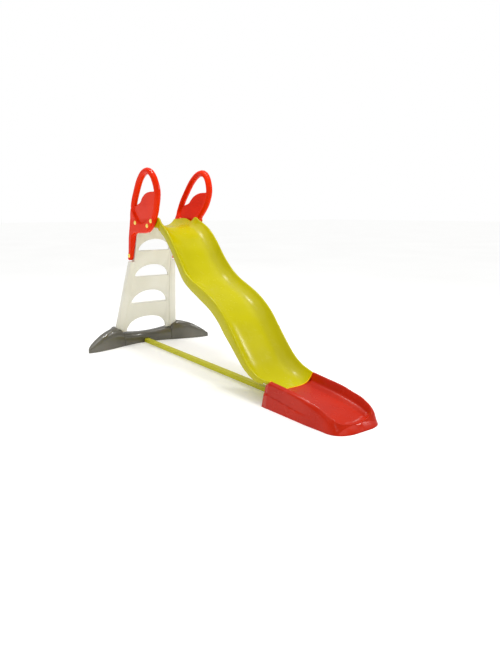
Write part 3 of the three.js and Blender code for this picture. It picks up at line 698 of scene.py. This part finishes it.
def tray_section(x):
    """The outer surface's right half at x, as (y, z), from the trough's middle to the ground."""
    saddle = x < CHUTE_END
    floor = SADDLE_FLOOR if saddle else tray_floor(x)
    rim = SADDLE_RIM if saddle else tray_rim(x)
    half = SADDLE_HALF if saddle else tray_rim_half(x)
    trough = half - (4 if saddle else 10)
    base = tray_base_half(x)
    section = []
    for share, rise in TRAY_PROFILE:
        # The lip at the nose curves back towards the sides, so they meet it sooner.
        ahead = x if saddle else max(x, min(x + LIP_SWEEP * share**2, LIP_X))
        height = floor if saddle else tray_floor(ahead)
        section.append((share * trough, height + (rim - height) * rise))
    section.append((half - 5, rim + min(1.6, rim * 0.05)))
    section.append((half - 1, rim - 0.5))
    # A ledge runs along the skirt at the rear and melts into a rolled edge towards the nose.
    # Each row: share of the way out and height at the rear, then the same at the nose.
    blend = smoothstep(x, 1980, 2230)
    ledge = 79 - (x - TRAY_REAR) * 0.1
    shoulder = [
        (0.14, rim - 0.5, 0, rim * 0.97),
        (0.43, rim - 5, 0.25, rim * 0.9),
        (0.57, rim - 13, 0.48, rim * 0.79),
        (0.70, ledge + 3, 0.70, rim * 0.58),
        (0.82, ledge, 0.89, rim * 0.3),
    ]
    for rear_share, rear_height, front_share, front_height in shoulder:
        share = rear_share + (front_share - rear_share) * blend
        height = rear_height + (front_height - rear_height) * blend
        section.append((half + (base - half) * share, height))
    section.append((base, 0))
    return section


def tray_stations():
    """Where the tray's sections are taken, from the rear to the nose."""
    start = CHUTE_END + 0.4
    turn = 2240
    run_steps = 60
    nose_steps = 90
    run = [start + (turn - start) * i / run_steps for i in range(run_steps + 1)]
    # The nose's stations are crowded towards its tip, where it turns quickly.
    nose = [turn + (NOSE - turn) * (1 - (1 - i / nose_steps) ** 1.7) for i in range(1, nose_steps + 1)]
    return [TRAY_REAR, CHUTE_END, *run, *nose]


def across(half):
    """A whole section from its right half."""
    return [(-y, z) for y, z in reversed(half[1:])] + half


def tray_piece():
    """The tray's shell, open underneath, with its blunt tip closed."""
    rows = []
    for x in tray_stations():
        # The rear edge leans forward as it rises.
        lean = REAR_LEAN if x == TRAY_REAR else 0
        section = across(resampled(tray_section(x), TRAY_POINTS))
        rows.append([place(x + lean * z, y, max(z, 0)) for y, z in section])
    bm = grid(rows)
    cap(bm, rows[-1])
    obj = piece_from("tray_shell", bm, TRAY_RED, 50)
    wall = obj.modifiers.new("wall", "SOLIDIFY")
    wall.thickness = TRAY_WALL * MM
    wall.offset = -1
    wall.use_even_offset = False
    apply_modifiers(obj)
    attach(obj, "root")
    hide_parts("runout_tray")
    return obj


def tray_rear_wall():
    """The wall that closes the tray's rear, under the chute's end, with a slot for the stabiliser bar."""
    inset = TRAY_WALL / 2
    half = []
    for y, z in resampled(tray_section(TRAY_REAR), TRAY_POINTS):
        half.append((y - inset * smoothstep(y, 150, 170), max(z - inset, 0)))
    slot = [(SLOT_HALF, 0), (SLOT_HALF, SLOT_TOP), (-SLOT_HALF, SLOT_TOP), (-SLOT_HALF, 0)]
    rows = []
    for x in (TRAY_REAR + 0.6, TRAY_REAR + REAR_WALL):
        rows.append([place(x + REAR_LEAN * z, y, z) for y, z in across(half) + slot])
    bm = grid(rows, closed_across=True)
    cap(bm, rows[0])
    cap(bm, rows[1])
    return piece_from("tray_rear_wall", bm, TRAY_RED, 35)


def tray_boss():
    """The block under the tray that the bar plugs into: an arch open to the rear and below, and its end."""
    outside = [(-BOSS_HALF, 0), (-BOSS_HALF, BOSS_TOP), (BOSS_HALF, BOSS_TOP), (BOSS_HALF, 0)]
    inside = [(SLOT_HALF, 0), (SLOT_HALF, SLOT_TOP), (-SLOT_HALF, SLOT_TOP), (-SLOT_HALF, 0)]
    outline = rounded_path(outside, 3)
    arch = outline + rounded_path(inside, 1.5)
    starts = [place(TRAY_REAR + REAR_WALL / 2 + REAR_LEAN * z, y, z) for y, z in arch]
    rows = [starts, [place(SLOT_END, y, z) for y, z in arch]]
    bm = grid(rows, closed_across=True)
    cap(bm, rows[0])
    cap(bm, rows[1])
    end_rows = [[place(x, y, z) for y, z in outline] for x in (SLOT_END, BOSS_END)]
    end = grid(end_rows, closed_across=True)
    cap(end, end_rows[0])
    cap(end, end_rows[1])
    block = piece_from("tray_boss", bm, TRAY_RED, 35)
    wall = piece_from("tray_boss_end", end, TRAY_RED, 35)
    return [block, wall]


# ---- The pieces ----

chute = chute_piece()
deck = deck_plate()
for block in [tray_rear_wall(), *tray_boss()]:
    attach(block, "root")
    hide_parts("runout_tray")
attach(deck, "root")
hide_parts("chute")
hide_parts("chute")
tray_piece()

bevelled("ladder_moulding", "ladder", 0.0018, CREAM)
moulded("crossbar_moulding", "crossbar", 0.003, 10, GREY)
for side in ("left", "right"):
    moulded(f"foot_moulding_{side}", f"foot_{side}", 0.003, 14, GREY)
    moulded(f"handle_moulding_{side}", f"handle_{side}", 0.0025, 6, RED)

# The CAD's own small pieces keep their meshes and take a finish by name; the rest of them are fasteners.
FINISHES = {"stabiliser_bar": BAR, "bar_plug": BLACK, "bolt_cap": YELLOW}
for name, node in NODES.items():
    finish = next((m for start, m in FINISHES.items() if name.startswith(start)), ZINC)
    for slot_index in range(len(node.material_slots)):
        node.material_slots[slot_index].material = finish

# ---- Floor, lights and camera ----

FLOOR_REACH = 60
FLOOR_GLOW = 0.1
floor_bm = bmesh.new()
bmesh.ops.create_grid(floor_bm, x_segments=8, y_segments=8, size=FLOOR_REACH)
floor_material = Nodes("floor")
tone = floor_material.span(floor_material.noise(0.6, 3.0), 0.3, 0.7, 0.0, 1.0)
floor_material.link(
    floor_material.blend(tone, srgb(250, 250, 249), srgb(246, 246, 245)),
    floor_material.shader.inputs["Base Color"],
)
floor_material.shader.inputs["Roughness"].default_value = 0.9
floor_material.shader.inputs["Specular IOR Level"].default_value = 0.0
# A faint glow keeps the floor as white far away as it is near the lights.
floor_material.shader.inputs["Emission Color"].default_value = (1.0, 1.0, 1.0, 1.0)
floor_material.shader.inputs["Emission Strength"].default_value = FLOOR_GLOW
floor = piece_from("floor", floor_bm, floor_material.material)

CAMERA_PLACE = Vector((3.0643, -2.0058, 1.0756))
CAMERA_AZIMUTH = math.radians(53.987)
CAMERA_ELEVATION = math.radians(11.414)
FOCAL_LENGTH = 30.95
SENSOR = 36

camera_data = bpy.data.cameras.new("camera")
camera_data.lens = FOCAL_LENGTH
camera_data.sensor_width = SENSOR
camera_data.sensor_fit = "AUTO"
camera = bpy.data.objects.new("camera", camera_data)
bpy.context.scene.collection.objects.link(camera)
backwards = Vector(
    (
        math.sin(CAMERA_AZIMUTH) * math.cos(CAMERA_ELEVATION),
        -math.cos(CAMERA_AZIMUTH) * math.cos(CAMERA_ELEVATION),
        math.sin(CAMERA_ELEVATION),
    )
)
camera.location = CAMERA_PLACE
camera.rotation_mode = "QUATERNION"
camera.rotation_quaternion = (-backwards).to_track_quat("-Z", "Y")
bpy.context.scene.camera = camera


def aim(light, location, target):
    """Places a light, points it at a target and puts it in the scene."""
    light.location = location
    light.rotation_mode = "QUATERNION"
    light.rotation_quaternion = (Vector(target) - Vector(location)).to_track_quat("-Z", "Y")
    bpy.context.scene.collection.objects.link(light)


def softbox(name, location, target, width, height, power):
    """An oval studio light, aimed at a point."""
    data = bpy.data.lights.new(name, "AREA")
    data.shape = "ELLIPSE"
    data.size = width
    data.size_y = height
    data.energy = power
    aim(bpy.data.objects.new(name, data), location, target)


# A broad overhead light fills the whole floor evenly; the softboxes draw the highlights.
overhead = bpy.data.lights.new("overhead", "SUN")
overhead.energy = 1.5
overhead.angle = math.radians(70)
overhead.specular_factor = 0.25
aim(bpy.data.objects.new("overhead", overhead), (-0.4, -0.5, 5.0), (0.0, 0.0, 0.0))
softbox("top_light", (-0.7, -0.1, 3.9), (-0.1, 0.0, 0.5), 0.6, 0.6, 42)
softbox("rear_light", (1.08, 2.75, 2.52), (0.4, 0.0, 0.3), 0.6, 0.36, 40)
softbox("left_light", (0.6, -4.2, 2.0), (0.0, 0.0, 0.5), 2.0, 1.2, 8)
softbox("nose_light", (4.6, -0.2, 1.5), (0.9, 0.0, 0.2), 0.5, 0.5, 8)

# The world gives a weak even light and shows as a white studio wall.
WORLD_LIGHT = 0.46
WORLD_SEEN = 1.0
world = bpy.data.worlds.new("studio")
world.use_nodes = True
background = world.node_tree.nodes["Background"]
background.inputs["Color"].default_value = (1.0, 1.0, 1.0, 1.0)
light_path = world.node_tree.nodes.new("ShaderNodeLightPath")
strength = world.node_tree.nodes.new("ShaderNodeMapRange")
strength.inputs["To Min"].default_value = WORLD_LIGHT
strength.inputs["To Max"].default_value = WORLD_SEEN
world.node_tree.links.new(light_path.outputs["Is Camera Ray"], strength.inputs["Value"])
world.node_tree.links.new(strength.outputs["Result"], background.inputs["Strength"])
bpy.context.scene.world = world
bpy.context.scene.view_settings.view_transform = "Standard"
